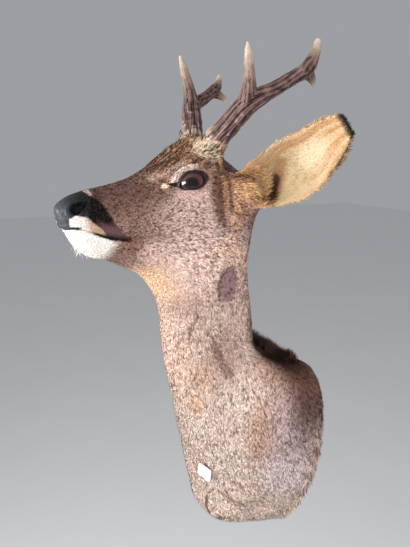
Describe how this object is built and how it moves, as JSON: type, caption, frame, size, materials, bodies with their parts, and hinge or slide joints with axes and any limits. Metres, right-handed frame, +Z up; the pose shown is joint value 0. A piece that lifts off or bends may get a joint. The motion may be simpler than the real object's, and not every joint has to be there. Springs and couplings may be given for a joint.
{
  "type": "mounted roe deer head",
  "caption": "Roe buck shoulder mount for a wall: head, neck and chest in short ticked grey-brown fur, forked antlers, glass eyes and cupped pale ears.",
  "frame": {"origin": "on the wall, at the middle of the backing board's rear face, behind the chest", "axes": "+Y into the wall, so the buck looks along -Y; +Z up; +X towards the buck's left side"},
  "size_m": [0.3, 0.2287, 0.5581],
  "materials": {
    "coat": "short ticked hair over a solid form",
    "jaw_hair": "short pale hair",
    "nose_skin": "bare skin, semi-gloss",
    "ear_hair": "long soft hair, inner side pale",
    "antler_bone": "bone, furrowed and pearled, tips polished",
    "eye_glass": "polished dark glass eye",
    "board_wood": "bare plywood",
    "hanger_steel": "plain",
    "label_paper": "blank white paper sticker"
  },
  "bodies": {
    "root": {"head": "coat", "neck": "coat", "chest": "coat", "lower_jaw": "jaw_hair", "nose_pad": "nose_skin", "ear_left": "ear_hair", "ear_right": "ear_hair", "eye_left": "eye_glass", "eye_right": "eye_glass", "backing_board": "board_wood", "hanger_bar": "hanger_steel", "paper_label": "label_paper", "antler_left_beam_lower": "antler_bone", "antler_left_beam_upper": "antler_bone", "antler_left_front_tine": "antler_bone", "antler_left_top_tine": "antler_bone", "antler_left_rear_tine": "antler_bone", "antler_right_beam_lower": "antler_bone", "antler_right_beam_upper": "antler_bone", "antler_right_front_tine": "antler_bone", "antler_right_top_tine": "antler_bone", "antler_right_rear_tine": "antler_bone"}
  },
  "joints": []
}
